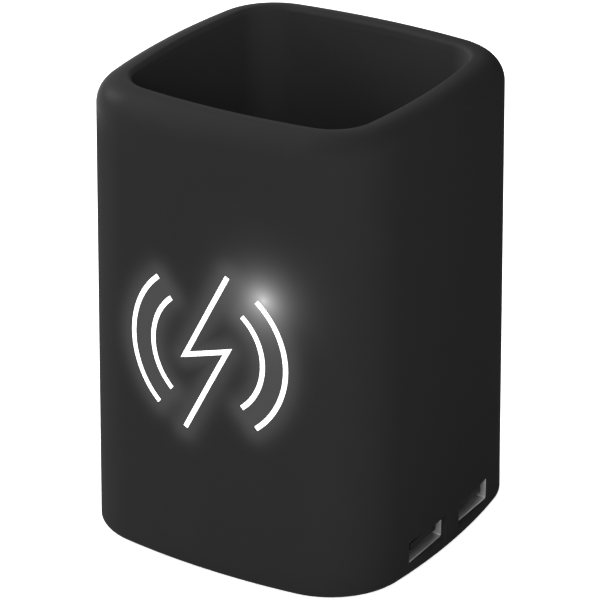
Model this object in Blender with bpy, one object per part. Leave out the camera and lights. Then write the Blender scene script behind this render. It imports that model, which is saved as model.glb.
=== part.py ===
"""Desk pen holder with a wireless charging coil, a lit mark and two USB outlets.

Metres, +Z up. The rest plane is z = 0, the lit mark faces -Y, the USB outlets face +X
and the charging coil lies behind the back wall, at +Y.
"""

import math

import bmesh
import bpy
from mathutils import Vector

# Clearances and cutters
fit_gap = 0.0003
mark_gap = 0.0002
cut_overrun = 0.001

# Body, from the outside
body_height = 0.10405
top_half_width = 0.0360
base_spread = 0.00162
corner_radius = 0.0167
side_bow = 0.00132
body_wall = 0.0024
rim_run = 0.00595
rim_rise = 0.00592
base_fillet = 0.0002
opening_inset = 0.00756
opening_fillet = 0.0012

# Pen cup
cup_wall = 0.0014
cup_draft = 0.0026
cup_floor_height = 0.0314
cup_floor_thickness = 0.0020
cup_floor_fillet = 0.0030
seat_proud = 0.0002

# Base, feet and stand-offs
foot_stand = 0.0006
foot_radius = 0.0045
foot_recess = 0.0006
foot_screw_gap = 0.0012
base_thickness = 0.0015
base_rim_gap = 0.0003
post_radius = 0.0022
post_height = 0.0002
post_port_gap = 0.0050
post_side_gap = 0.0055

# Screws
base_screw_radius = 0.00125
base_screw_head_radius = 0.0024
base_screw_head_height = 0.0006
base_screw_length = 0.0090
base_screw_edge = 0.0038
base_boss_radius = 0.0032
base_boss_height = 0.0190
base_web_width = 0.0024
cup_screw_radius = 0.0009
cup_screw_head_radius = 0.0016
cup_screw_head_height = 0.0010
cup_screw_length = 0.0065
cup_boss_radius = 0.0022
cup_boss_height = 0.0080
cup_ear_spread = 0.0100
cup_ear_thickness = 0.0018
board_screw_radius = 0.0008
board_screw_head_radius = 0.0017
board_screw_head_height = 0.0010
board_screw_reach = 0.0008

# Lit mark and light guide
mark_height = 0.0518
mark_side_margin = 0.0006
mark_half_angle = math.radians(50)
stroke_width = 0.0011
stroke_sink = 0.0001
guide_overhang = 0.0003
guide_margin = 0.0015
guide_thickness = 0.0015
reflector_thickness = 0.0003
led_width = 0.0028
led_depth = 0.0012
led_height = 0.0006
led_count = 4
led_board_thickness = 0.0008
led_board_depth = 0.0026
led_shelf_inset = 0.0050
led_shelf_thickness = 0.0015
led_shelf_web = 0.0020

# Charging coil
coil_height = 0.0530
coil_wire_radius = 0.0005
coil_inner_radius = 0.0075
coil_pitch = 0.0015
coil_margin = 0.0010
ferrite_overhang = 0.0008
ferrite_thickness = 0.0008
ferrite_corner_radius = 0.0020

# Main board
board_thickness = 0.0008
board_edge_gap = 0.0006
board_boss_gap = 0.0036
board_post_edge = 0.0048
board_tab_half_width = 0.0140

# USB-A outlets
usb_a_pitch = 0.0201
usb_a_width = 0.0132
usb_a_height = 0.0053
usb_a_length = 0.0140
usb_a_sheet = 0.0003
usb_a_corner = 0.0006
usb_a_flare = 0.0006
usb_a_flare_depth = 0.0005
usb_a_sink = 0.0008
usb_a_front_inset = 0.0012
usb_a_clearance = 0.0003
tongue_width = 0.0111
tongue_thickness = 0.0018
tongue_lift = 0.0020
tongue_recess = 0.0005
tongue_length = 0.0088
contact_width = 0.0010
contact_thickness = 0.0002
contact_recess = 0.0012
contact_leg = 0.0004

# USB-C inlet
usb_c_width = 0.0089
usb_c_height = 0.0032
usb_c_length = 0.0073
usb_c_sheet = 0.0003
usb_c_front_inset = 0.0004
usb_c_clearance = 0.0004
usb_c_tongue_width = 0.0067
usb_c_tongue_thickness = 0.0007
usb_c_tongue_recess = 0.0007

# Parts on the main board: width, depth and height
chip_size = (0.0050, 0.0050, 0.0009)
regulator_size = (0.0040, 0.0050, 0.0014)
inductor_size = (0.0065, 0.0065, 0.0030)
resonance_capacitor_size = (0.0032, 0.0025, 0.0018)
header_size = (0.0050, 0.0042, 0.0040)
coil_header_edge = 0.0104
bulk_capacitor_radius = 0.0030
bulk_capacitor_height = 0.0070
resonance_capacitor_pitch = 0.0045

# Internal leads
lead_radius = 0.0005
lead_pitch = 0.0020

# Places on the main board, as shares of its left reach and of its half depth
chip_share = (-0.05, 0.10)
regulator_share = (0.35, -0.55)
inductor_share = (0.30, 0.05)
resonance_capacitor_share = (-0.55, 0.45)
bulk_capacitor_share = (-0.60, -0.10)
led_header_share = (-0.35, -0.80)
coil_header_x_share = -0.65
contact_shares = (-0.32, -0.09, 0.09, 0.32)

# The inner arcs and the bolt, as shares of the mark's outer radius
inner_arc_share = 0.7204
bolt_half_width_share = 0.2796
bolt_half_height_share = 0.9800
bolt_slant_share = 0.0860

# How finely round shapes are divided
side_steps = 6
corner_steps = 10
fillet_steps = 4
rim_steps = 7
arc_steps = 10
screw_sides = 12
boss_sides = 16
foot_sides = 24
points_per_turn = 24
lead_steps = 4
sheet_corner_steps = 3

# The plan of every wall is one square with bowed sides, offset outwards
plan_half = top_half_width - corner_radius
bow_radius = (plan_half ** 2 + side_bow ** 2) / (2 * side_bow)
bow_angle = math.asin(plan_half / bow_radius)
bow_centre = plan_half + side_bow - bow_radius
opening_offset = corner_radius - opening_inset

# Light guide and coil fill the flat stretch of their walls
guide_half_width = plan_half + guide_overhang
mark_outer_radius = guide_half_width - mark_side_margin
mark_inner_radius = mark_outer_radius * inner_arc_share
bolt_half_width = mark_outer_radius * bolt_half_width_share
bolt_half_height = mark_outer_radius * bolt_half_height_share
bolt_slant = mark_outer_radius * bolt_slant_share
led_shelf_half_width = guide_half_width - led_shelf_inset
ferrite_half_width = plan_half + ferrite_overhang
coil_turns = round((ferrite_half_width - coil_margin - coil_inner_radius) / coil_pitch)
coil_outer_radius = coil_inner_radius + coil_turns * coil_pitch

# Heights that everything is stacked from
shell_base_z = foot_stand
shell_top_z = shell_base_z + body_height
rim_z = shell_top_z - rim_rise
cup_floor_z = shell_base_z + cup_floor_height
cup_base_z = cup_floor_z - cup_floor_thickness
cup_top_z = shell_top_z - body_wall - fit_gap
base_top_z = shell_base_z + base_thickness
board_z = base_top_z + post_height + fit_gap
board_top_z = board_z + board_thickness
part_z = board_top_z + fit_gap
mark_z = shell_base_z + mark_height
coil_z = shell_base_z + coil_height
guide_half_height = mark_outer_radius + guide_margin
guide_low_z = mark_z - guide_half_height
guide_high_z = mark_z + guide_half_height
led_z = guide_low_z - fit_gap - led_height
led_board_z = led_z - fit_gap - led_board_thickness
led_shelf_z = led_board_z - fit_gap


def body_offset(z):
    """Offset of the body's outer face at height z; the base is the widest."""
    return corner_radius + base_spread * (1 - (z - shell_base_z) / body_height)


def inside_offset(z):
    """Offset of the body's inner face at height z."""
    return body_offset(z) - body_wall


def cup_offset(z):
    """Offset of the pen cup's inner face at height z, narrowing downwards."""
    return opening_offset - cup_draft * (shell_top_z - z) / (shell_top_z - cup_floor_z)


def reach(offset, along):
    """Distance from the middle axis to a side's face, at a distance along that side."""
    if abs(along) <= (bow_radius + offset) * math.sin(bow_angle):
        return bow_centre + math.sqrt((bow_radius + offset) ** 2 - along ** 2)
    return plan_half + math.sqrt(offset ** 2 - (abs(along) - plan_half) ** 2)


def plan(offset, z):
    """The closed plan outline at one offset and height."""
    quarter = []
    for step in range(side_steps + 1):
        angle = bow_angle * (2 * step / side_steps - 1)
        radius = bow_radius + offset
        quarter.append((bow_centre + radius * math.cos(angle), radius * math.sin(angle)))
    for step in range(1, corner_steps):
        angle = bow_angle + (math.pi / 2 - 2 * bow_angle) * step / corner_steps
        quarter.append((plan_half + offset * math.cos(angle), plan_half + offset * math.sin(angle)))
    points = []
    for turn in range(4):
        cosine = math.cos(turn * math.pi / 2)
        sine = math.sin(turn * math.pi / 2)
        points += [Vector((x * cosine - y * sine, x * sine + y * cosine, z)) for x, y in quarter]
    return points


def quarter_arc(centre, run, rise, start, end, steps):
    """Points of an elliptic arc, as (offset, z) pairs."""
    pairs = []
    for step in range(steps + 1):
        angle = math.radians(start + (end - start) * step / steps)
        pairs.append((centre[0] + run * math.cos(angle), centre[1] + rise * math.sin(angle)))
    return pairs


# Materials and mesh helpers
def make_material(name, colour, roughness, metallic=0.0):
    material = bpy.data.materials.new(name)
    material.use_nodes = True
    shader = material.node_tree.nodes["Principled BSDF"]
    shader.inputs["Base Color"].default_value = (*colour, 1.0)
    shader.inputs["Roughness"].default_value = roughness
    shader.inputs["Metallic"].default_value = metallic
    return material


def add_object(name, points, faces, finish, smooth=False):
    """One mesh object with outward faces and its own material."""
    mesh = bpy.data.meshes.new(name)
    shape = bmesh.new()
    corners = [shape.verts.new(point) for point in points]
    for face in faces:
        shape.faces.new([corners[index] for index in face])
    bmesh.ops.recalc_face_normals(shape, faces=shape.faces)
    shape.to_mesh(mesh)
    shape.free()
    if smooth:
        mesh.shade_smooth()
        mesh.set_sharp_from_angle(angle=math.radians(35))
    item = bpy.data.objects.new(name, mesh)
    bpy.context.scene.collection.objects.link(item)
    if finish:
        mesh.materials.append(make_material(name, *finish))
    return item


def add_rings(name, rings, finish, looped=False, smooth=False):
    """Skin through equal rings of points, capped at both ends or joined end to end."""
    size = len(rings[0])
    points = [point for ring in rings for point in ring]
    faces = []
    spans = len(rings) if looped else len(rings) - 1
    for row in range(spans):
        low = row * size
        high = (row + 1) % len(rings) * size
        for column in range(size):
            following = (column + 1) % size
            faces.append((low + column, low + following, high + following, high + column))
    if not looped:
        faces.append(tuple(range(size)))
        faces.append(tuple(range(len(points) - size, len(points))))
    return add_object(name, points, faces, finish, smooth)


def place(axis, u, v, w):
    """A point from two coordinates across an axis and one along it."""
    if axis == "X":
        return Vector((w, u, v))
    if axis == "Y":
        return Vector((u, w, v))
    return Vector((u, v, w))


def add_prism(name, outline, axis, low, high, finish, smooth=False):
    """An outline extruded along an axis."""
    rings = [[place(axis, u, v, w) for u, v in outline] for w in (low, high)]
    return add_rings(name, rings, finish, smooth=smooth)


def add_sleeve(name, outer, inner, axis, low, high, finish):
    """A tube between two outlines with equal counts of points."""
    rings = []
    for outline, w in ((outer, low), (outer, high), (inner, high), (inner, low)):
        rings.append([place(axis, u, v, w) for u, v in outline])
    return add_rings(name, rings, finish, looped=True)


def add_box(name, low, high, finish):
    outline = rectangle((low[0] + high[0]) / 2, (low[1] + high[1]) / 2, high[0] - low[0], high[1] - low[1])
    return add_prism(name, outline, "Z", low[2], high[2], finish)


def rectangle(u, v, width, height):
    return [
        (u - width / 2, v - height / 2),
        (u + width / 2, v - height / 2),
        (u + width / 2, v + height / 2),
        (u - width / 2, v + height / 2),
    ]


def rounded_rectangle(u, v, width, height, radius, steps):
    """A rectangle with round corners, starting at its right side."""
    points = []
    for turn, (side_u, side_v) in enumerate(((1, 1), (-1, 1), (-1, -1), (1, -1))):
        centre_u = u + side_u * (width / 2 - radius)
        centre_v = v + side_v * (height / 2 - radius)
        for step in range(steps + 1):
            angle = math.pi / 2 * (turn + step / steps)
            points.append((centre_u + radius * math.cos(angle), centre_v + radius * math.sin(angle)))
    return points


def add_turned(name, profile, x, y, sides, finish, smooth=True):
    """A profile of (radius, z) pairs turned about an upright axis; it starts and ends on the axis."""
    points = [Vector((x, y, profile[0][1]))]
    for radius, z in profile[1:-1]:
        for side in range(sides):
            angle = 2 * math.pi * side / sides
            points.append(Vector((x + radius * math.cos(angle), y + radius * math.sin(angle), z)))
    points.append(Vector((x, y, profile[-1][1])))
    last = len(points) - 1
    faces = []
    for side in range(sides):
        following = (side + 1) % sides
        faces.append((0, 1 + side, 1 + following))
        for row in range(len(profile) - 3):
            low = 1 + row * sides
            high = low + sides
            faces.append((low + side, low + following, high + following, high + side))
        faces.append((last, last - sides + side, last - sides + following))
    return add_object(name, points, faces, finish, smooth)


def add_cylinder(name, x, y, radius, low, high, sides, finish):
    return add_turned(name, [(0, low), (radius, low), (radius, high), (0, high)], x, y, sides, finish)


def apply_tool(target, tool, operation):
    """Boolean with a hidden tool shape."""
    tool.hide_render = True
    tool.display_type = "WIRE"
    modifier = target.modifiers.new(tool.name, "BOOLEAN")
    modifier.operation = operation
    modifier.object = tool
    modifier.solver = "EXACT"


def add_to(target, tool):
    apply_tool(target, tool, "UNION")


def cut_from(target, tool):
    apply_tool(target, tool, "DIFFERENCE")


def stroke_outline(path, width):
    """The outline of a band of even width along an open path, with mitred corners."""
    left = []
    right = []
    for index, point in enumerate(path):
        here = Vector(point)
        before = (here - Vector(path[index - 1])).normalized() if index else None
        after = (Vector(path[index + 1]) - here).normalized() if index + 1 < len(path) else None
        heading = ((before or after) + (after or before)).normalized()
        across = Vector((-heading.y, heading.x))
        lean = heading.dot(after or before)
        shift = across * (width / 2 / lean)
        left.append(tuple(here + shift))
        right.append(tuple(here - shift))
    return left + right[::-1]


def smooth_route(knots, steps):
    """Points of a smooth curve through the knots of a route."""
    knots = [Vector(knot) for knot in knots]
    route = []
    for index in range(len(knots) - 1):
        start = knots[index]
        end = knots[index + 1]
        before = knots[index - 1] if index else start - (end - start)
        after = knots[index + 2] if index + 2 < len(knots) else end + (end - start)
        for step in range(steps):
            share = step / steps
            leave = (end - before) / 2
            arrive = (after - start) / 2
            square = share * share
            cube = square * share
            route.append(
                start * (2 * cube - 3 * square + 1)
                + leave * (cube - 2 * square + share)
                + end * (3 * square - 2 * cube)
                + arrive * (cube - square)
            )
    route.append(knots[-1])
    return route


def add_wire(name, route, radius, resolution, finish):
    """A round wire along a route, with filled ends."""
    curve = bpy.data.curves.new(name, "CURVE")
    curve.dimensions = "3D"
    curve.bevel_depth = radius
    curve.bevel_resolution = resolution
    curve.use_fill_caps = True
    spline = curve.splines.new("POLY")
    spline.points.add(len(route) - 1)
    for point, position in zip(spline.points, route):
        point.co = (*position, 1.0)
    curve.materials.append(make_material(name, *finish))
    item = bpy.data.objects.new(name, curve)
    bpy.context.scene.collection.objects.link(item)
    return item


# Finishes: colour, roughness, metallic
soft_black = ((0.028, 0.028, 0.029), 0.62)
cup_black = ((0.022, 0.022, 0.023), 0.68)
base_black = ((0.030, 0.030, 0.031), 0.55)
rubber_black = ((0.020, 0.020, 0.020), 0.90)
steel = ((0.62, 0.63, 0.65), 0.35, 1.0)
gold = ((0.83, 0.62, 0.26), 0.30, 1.0)
copper = ((0.72, 0.38, 0.20), 0.35, 1.0)
board_green = ((0.02, 0.13, 0.06), 0.50)
board_white = ((0.75, 0.76, 0.77), 0.50)
chip_black = ((0.025, 0.025, 0.028), 0.45)
ferrite_grey = ((0.07, 0.07, 0.075), 0.60)
guide_white = ((0.90, 0.92, 0.95), 0.25)
film_white = ((0.88, 0.88, 0.88), 0.40)
led_white = ((0.95, 0.95, 0.85), 0.30)
tin = ((0.70, 0.70, 0.71), 0.30, 1.0)
nylon = ((0.82, 0.80, 0.74), 0.50)
ceramic = ((0.55, 0.42, 0.28), 0.50)
lead_red = ((0.45, 0.03, 0.03), 0.45)
lead_black = ((0.03, 0.03, 0.03), 0.45)


# Places that several pieces share
def diagonal_places(offset):
    """The four points on the corners' diagonals at one offset of the plan."""
    spot = plan_half + offset / math.sqrt(2)
    return [(spot, spot), (-spot, spot), (-spot, -spot), (spot, -spot)]


screw_offset = inside_offset(shell_base_z) - base_rim_gap - base_screw_edge
screw_well_radius = base_screw_head_radius + fit_gap
foot_pocket_radius = foot_radius + fit_gap
foot_offset = screw_offset - screw_well_radius - foot_screw_gap - foot_pocket_radius


def ear_places():
    """Centres of the four screws that hang the cup from the body's side bosses."""
    inner = reach(cup_offset(cup_base_z + cup_boss_height) + cup_wall, cup_ear_spread)
    spot = inner + fit_gap + cup_boss_radius
    return [(side * spot, end * cup_ear_spread) for side in (-1, 1) for end in (-1, 1)]


def seat_reach(high_z):
    """How far a flat seat on the cup stands from the middle axis."""
    return reach(cup_offset(high_z) + cup_wall, 0) + seat_proud


coil_seat_y = seat_reach(coil_z + ferrite_half_width)
ferrite_y = coil_seat_y + fit_gap
coil_y = ferrite_y + ferrite_thickness + fit_gap + coil_wire_radius
guide_seat_y = seat_reach(guide_high_z)
reflector_y = guide_seat_y + fit_gap
guide_y = reflector_y + reflector_thickness + fit_gap
ear_low_z = cup_base_z
ear_high_z = ear_low_z + cup_ear_thickness
port_low_z = part_z - usb_a_sink
port_middle_z = port_low_z + usb_a_height / 2
usb_a_mouth_width = usb_a_width + 2 * usb_a_flare
usb_a_front_x = reach(body_offset(port_middle_z), 0) - usb_a_front_inset
usb_c_middle_z = part_z + usb_c_height / 2
usb_c_front_y = reach(body_offset(usb_c_middle_z), 0) - usb_c_front_inset
board_half_depth = diagonal_places(screw_offset)[0][1] - base_boss_radius - board_boss_gap
post_x = usb_a_front_x - usb_a_length - post_port_gap
post_y = board_half_depth - post_side_gap
post_places = [(x * post_x, y * post_y) for x in (-1, 1) for y in (-1, 1)]
board_left = post_x + board_post_edge


def mark_strokes(width):
    """Outlines of the lit mark: an upright bolt between two pairs of arcs."""
    bolt = [
        (bolt_half_width, bolt_half_height),
        (-bolt_half_width, -bolt_slant),
        (bolt_half_width, bolt_slant),
        (-bolt_half_width, -bolt_half_height),
    ]
    outlines = [stroke_outline(bolt, width)]
    for radius in (mark_inner_radius, mark_outer_radius):
        for side in (-1, 1):
            path = []
            for step in range(arc_steps + 1):
                angle = mark_half_angle * (2 * step / arc_steps - 1)
                path.append((side * radius * math.cos(angle), radius * math.sin(angle)))
            outlines.append(stroke_outline(path, width))
    return [[(u, v + mark_z) for u, v in outline] for outline in outlines]


def stroke_blocks(name, width, front, back):
    """The mark's strokes as upright blocks in one mesh, between two depths along Y."""
    points = []
    faces = []
    for outline in mark_strokes(width):
        first = len(points)
        size = len(outline)
        points += [Vector((u, front, v)) for u, v in outline]
        points += [Vector((u, back, v)) for u, v in outline]
        half = size // 2
        for index in range(size):
            following = (index + 1) % size
            faces.append((first + index, first + following, first + size + following, first + size + index))
        for index in range(half - 1):
            mirror = size - 1 - index
            for shift in (0, size):
                faces.append(tuple(first + shift + k for k in (index, index + 1, mirror - 1, mirror)))
    return add_object(name, points, faces, None)


# Shells
def make_outer_shell():
    """Drafted, bowed body with a rolled rim, open below."""
    profile = quarter_arc(
        (body_offset(shell_base_z) - base_fillet, shell_base_z + base_fillet),
        base_fillet, base_fillet, -90, 0, fillet_steps,
    )
    profile += quarter_arc(
        (body_offset(rim_z) - rim_run, rim_z), rim_run, rim_rise, 0, 90, rim_steps
    )
    profile += quarter_arc(
        (opening_offset + opening_fillet, shell_top_z - opening_fillet),
        -opening_fillet, opening_fillet, 90, 0, fillet_steps,
    )
    profile.append((opening_offset, shell_top_z - body_wall))
    land = opening_offset + cup_wall + fit_gap
    profile += quarter_arc(
        (land, rim_z), inside_offset(rim_z) - land, rim_rise - body_wall, 90, 0, rim_steps
    )
    profile.append((inside_offset(shell_base_z), shell_base_z))
    rings = [plan(offset, z) for offset, z in profile]
    shell = add_rings("outer_shell", rings, soft_black, looped=True, smooth=True)
    add_shell_bosses(shell)
    cut_shell_ports(shell)
    cutter = stroke_blocks(
        "mark_slots", stroke_width + 2 * mark_gap,
        -reach(body_offset(shell_base_z), 0) - cut_overrun, -guide_y - guide_thickness,
    )
    cut_from(shell, cutter)
    return shell


def add_shell_bosses(shell):
    low = base_top_z + fit_gap
    for index, (x, y) in enumerate(diagonal_places(screw_offset)):
        inner_end = Vector((x, y))
        outer_end = Vector(diagonal_places(inside_offset(low + base_boss_height) + body_wall / 2)[index])
        across = Vector((-y, x)).normalized() * base_web_width / 2
        outline = [inner_end - across, outer_end - across, outer_end + across, inner_end + across]
        add_to(shell, add_prism(
            f"corner_web_{index}", outline, "Z", low + fit_gap, low + base_boss_height - fit_gap, None
        ))
        boss = add_cylinder(
            f"corner_boss_{index}", x, y, base_boss_radius, low, low + base_boss_height, boss_sides, None
        )
        add_to(shell, boss)
        hole_top = shell_base_z + base_screw_length + cut_overrun
        hole = add_cylinder(
            f"corner_hole_{index}", x, y, base_screw_radius + fit_gap,
            low - cut_overrun, hole_top, screw_sides, None,
        )
        cut_from(shell, hole)
    low = ear_high_z + fit_gap
    for index, (x, y) in enumerate(ear_places()):
        side = math.copysign(1, x)
        outer = reach(inside_offset(low + cup_boss_height), cup_ear_spread) + body_wall / 2
        edges = sorted((x, side * outer))
        web = add_box(
            f"side_web_{index}",
            (edges[0], y - cup_boss_radius, low),
            (edges[1], y + cup_boss_radius, low + cup_boss_height), None,
        )
        add_to(shell, web)
        boss = add_cylinder(
            f"side_boss_{index}", x, y, cup_boss_radius, low - fit_gap / 2, low + cup_boss_height + fit_gap / 2,
            boss_sides, None,
        )
        add_to(shell, boss)
        hole = add_cylinder(
            f"side_hole_{index}", x, y, cup_screw_radius + fit_gap,
            low - cut_overrun, ear_low_z + cup_screw_length + fit_gap, screw_sides, None,
        )
        cut_from(shell, hole)


def cut_shell_ports(shell):
    for index, side in enumerate((-1, 1)):
        opening = add_prism(
            f"usb_a_opening_{index}",
            rectangle(
                side * usb_a_pitch / 2, port_middle_z,
                usb_a_mouth_width + 2 * usb_a_clearance, usb_a_height + 2 * usb_a_clearance,
            ),
            "X", usb_a_front_x - usb_a_length, usb_a_front_x + body_wall, None,
        )
        cut_from(shell, opening)
    height = usb_c_height + 2 * usb_c_clearance
    opening = add_prism(
        "usb_c_opening",
        rounded_rectangle(
            0, usb_c_middle_z, usb_c_width + 2 * usb_c_clearance, height, height / 2, fillet_steps
        ),
        "Y", usb_c_front_y - usb_c_length, usb_c_front_y + body_wall, None,
    )
    cut_from(shell, opening)


def make_inner_cup():
    """Pen cup with flat seats for coil and light guide, four ears and a shelf for the lamps."""
    rings = [plan(cup_offset(z) + cup_wall, z) for z in (cup_base_z, cup_top_z)]
    cup = add_rings("inner_cup", rings, cup_black, smooth=True)
    add_to(cup, add_box(
        "coil_seat",
        (-ferrite_half_width, 0, coil_z - ferrite_half_width),
        (ferrite_half_width, coil_seat_y, coil_z + ferrite_half_width), None,
    ))
    add_to(cup, add_box(
        "guide_seat",
        (-guide_half_width, -guide_seat_y, cup_base_z + cup_floor_thickness / 2),
        (guide_half_width, 0, guide_high_z), None,
    ))
    add_cup_ears(cup)
    add_led_shelf(cup)
    profile = quarter_arc(
        (cup_offset(cup_floor_z) - cup_floor_fillet, cup_floor_z + cup_floor_fillet),
        cup_floor_fillet, cup_floor_fillet, -90, 0, fillet_steps,
    )
    top = cup_top_z + cut_overrun
    profile.append((cup_offset(top), top))
    cut_from(cup, add_rings("cup_hollow", [plan(offset, z) for offset, z in profile], None, smooth=True))
    return cup


def add_cup_ears(cup):
    for index, (x, y) in enumerate(ear_places()):
        side = math.copysign(1, x)
        outer = reach(inside_offset(ear_high_z), cup_ear_spread + cup_boss_radius) - fit_gap
        edges = sorted((side * plan_half, side * outer))
        ear = add_box(
            f"cup_ear_{index}",
            (edges[0], y - cup_boss_radius, ear_low_z),
            (edges[1], y + cup_boss_radius, ear_high_z), None,
        )
        add_to(cup, ear)
        hole = add_cylinder(
            f"ear_hole_{index}", x, y, cup_screw_radius + fit_gap,
            ear_low_z - cut_overrun, ear_high_z + cut_overrun, screw_sides, None,
        )
        cut_from(cup, hole)


def add_led_shelf(cup):
    """An angled shelf under the cup's front edge that carries the lamp board."""
    back = guide_seat_y - led_board_depth - 2 * led_shelf_web
    front = guide_y + guide_thickness
    low = led_shelf_z - led_shelf_thickness
    add_to(cup, add_box(
        "led_shelf",
        (-led_shelf_half_width, -front, low),
        (led_shelf_half_width, -back, led_shelf_z), None,
    ))
    web_high = max(cup_base_z + cup_floor_thickness / 2, led_shelf_z + led_shelf_thickness)
    add_to(cup, add_box(
        "led_shelf_web",
        (led_shelf_web - led_shelf_half_width, -back - 3 * led_shelf_web / 2, low + led_shelf_thickness / 2),
        (led_shelf_half_width - led_shelf_web, -back - led_shelf_web / 2, web_high), None,
    ))


def make_base_cover():
    """Screwed base plate with stand-offs above and pockets for the feet below."""
    offset = inside_offset(shell_base_z) - base_rim_gap
    rings = [plan(offset, z) for z in (shell_base_z, base_top_z)]
    cover = add_rings("base_cover", rings, base_black)
    for index, (x, y) in enumerate(post_places):
        post = add_cylinder(
            f"board_post_{index}", x, y, post_radius, shell_base_z + base_thickness / 2,
            base_top_z + post_height, boss_sides, None,
        )
        add_to(cover, post)
        hole = add_cylinder(
            f"post_hole_{index}", x, y, board_screw_radius + fit_gap,
            base_top_z - board_screw_reach - fit_gap, base_top_z + post_height + cut_overrun, screw_sides, None,
        )
        cut_from(cover, hole)
    for index, (x, y) in enumerate(diagonal_places(foot_offset)):
        pocket = add_cylinder(
            f"foot_pocket_{index}", x, y, foot_pocket_radius,
            shell_base_z - cut_overrun, shell_base_z + foot_recess, foot_sides, None,
        )
        cut_from(cover, pocket)
    for index, (x, y) in enumerate(diagonal_places(screw_offset)):
        step_z = shell_base_z + base_screw_head_height + fit_gap
        profile = [
            (0, shell_base_z - cut_overrun),
            (screw_well_radius, shell_base_z - cut_overrun),
            (screw_well_radius, step_z),
            (base_screw_radius + fit_gap, step_z),
            (base_screw_radius + fit_gap, base_top_z + cut_overrun),
            (0, base_top_z + cut_overrun),
        ]
        cut_from(cover, add_turned(f"screw_well_{index}", profile, x, y, boss_sides, None))
    return cover


# Feet and screws
def make_feet():
    for index, (x, y) in enumerate(diagonal_places(foot_offset)):
        add_cylinder(
            f"foot_{index + 1}", x, y, foot_radius, 0, shell_base_z + foot_recess - fit_gap,
            foot_sides, rubber_black,
        )


def add_screw(name, x, y, head_z, way, radius, head_radius, head_height, length):
    """A screw whose head face lies at head_z and whose shank points along way, +1 up or -1 down."""
    socket = head_radius / 2
    profile = [
        (0, head_height / 2),
        (socket, head_height / 2),
        (socket, 0),
        (head_radius, 0),
        (head_radius, head_height),
        (radius, head_height),
        (radius, length - radius),
        (radius / 2, length),
        (0, length),
    ]
    turned = [(width, head_z + way * along) for width, along in profile]
    return add_turned(name, turned, x, y, screw_sides, steel)


def make_screws():
    for index, (x, y) in enumerate(diagonal_places(screw_offset)):
        add_screw(
            f"base_screw_{index + 1}", x, y, shell_base_z, 1, base_screw_radius,
            base_screw_head_radius, base_screw_head_height, base_screw_length,
        )
    head_z = ear_low_z - fit_gap - cup_screw_head_height
    for index, (x, y) in enumerate(ear_places()):
        add_screw(
            f"cup_screw_{index + 1}", x, y, head_z, 1, cup_screw_radius,
            cup_screw_head_radius, cup_screw_head_height, ear_low_z + cup_screw_length - head_z,
        )
    head_z = board_top_z + fit_gap + board_screw_head_height
    for index, (x, y) in enumerate(post_places):
        add_screw(
            f"board_screw_{index + 1}", x, y, head_z, -1, board_screw_radius,
            board_screw_head_radius, board_screw_head_height, head_z - base_top_z + board_screw_reach,
        )


# Lit mark
def make_light_guide():
    """Flat guide whose raised strokes fill the slots of the body's front wall."""
    plate = add_box(
        "light_guide",
        (-guide_half_width, -guide_y - guide_thickness, guide_low_z),
        (guide_half_width, -guide_y, guide_high_z), guide_white,
    )
    strokes = stroke_blocks(
        "mark_ridges", stroke_width,
        -reach(body_offset(shell_base_z), 0) - cut_overrun, -guide_y - guide_thickness / 2,
    )
    low = guide_low_z - cut_overrun
    high = guide_high_z + cut_overrun
    rings = [plan(body_offset(z) - stroke_sink, z) for z in (low, high)]
    form = add_rings("mark_face", rings, None)
    apply_tool(strokes, form, "INTERSECT")
    add_to(plate, strokes)
    return plate


def make_lamps():
    add_box(
        "reflector_film",
        (-guide_half_width, -reflector_y - reflector_thickness, guide_low_z),
        (guide_half_width, -reflector_y, guide_high_z), film_white,
    )
    back = guide_seat_y + fit_gap
    add_box(
        "led_board",
        (-guide_half_width, -back - led_board_depth, led_board_z),
        (guide_half_width, -back, led_board_z + led_board_thickness), board_white,
    )
    middle = -guide_y - guide_thickness / 2
    pitch = 2 * led_shelf_half_width / led_count
    for index in range(led_count):
        x = pitch * (index - (led_count - 1) / 2)
        add_box(
            f"led_{index + 1}",
            (x - led_width / 2, middle - led_depth / 2, led_z),
            (x + led_width / 2, middle + led_depth / 2, led_z + led_height), led_white,
        )


# Charging coil
def make_coil():
    add_prism(
        "coil_ferrite",
        rounded_rectangle(
            0, coil_z, 2 * ferrite_half_width, 2 * ferrite_half_width, ferrite_corner_radius, fillet_steps
        ),
        "Y", ferrite_y, ferrite_y + ferrite_thickness, ferrite_grey,
    )
    route = []
    for step in range(coil_turns * points_per_turn + 1):
        turn = step / points_per_turn
        radius = coil_inner_radius + coil_pitch * turn
        angle = math.pi + 2 * math.pi * turn
        route.append(Vector((radius * math.cos(angle), coil_y, coil_z + radius * math.sin(angle))))
    least = min(
        (route[step + points_per_turn] - route[step]).length for step in range(len(route) - points_per_turn)
    )
    print(f"charging_coil: least gap between turns {1000 * (least - 2 * coil_wire_radius):.2f} mm")
    add_wire("charging_coil", route, coil_wire_radius, 1, copper)


# Main board and what stands on it
def inside_reach(along):
    return reach(inside_offset(board_top_z), along) - board_edge_gap


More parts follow.
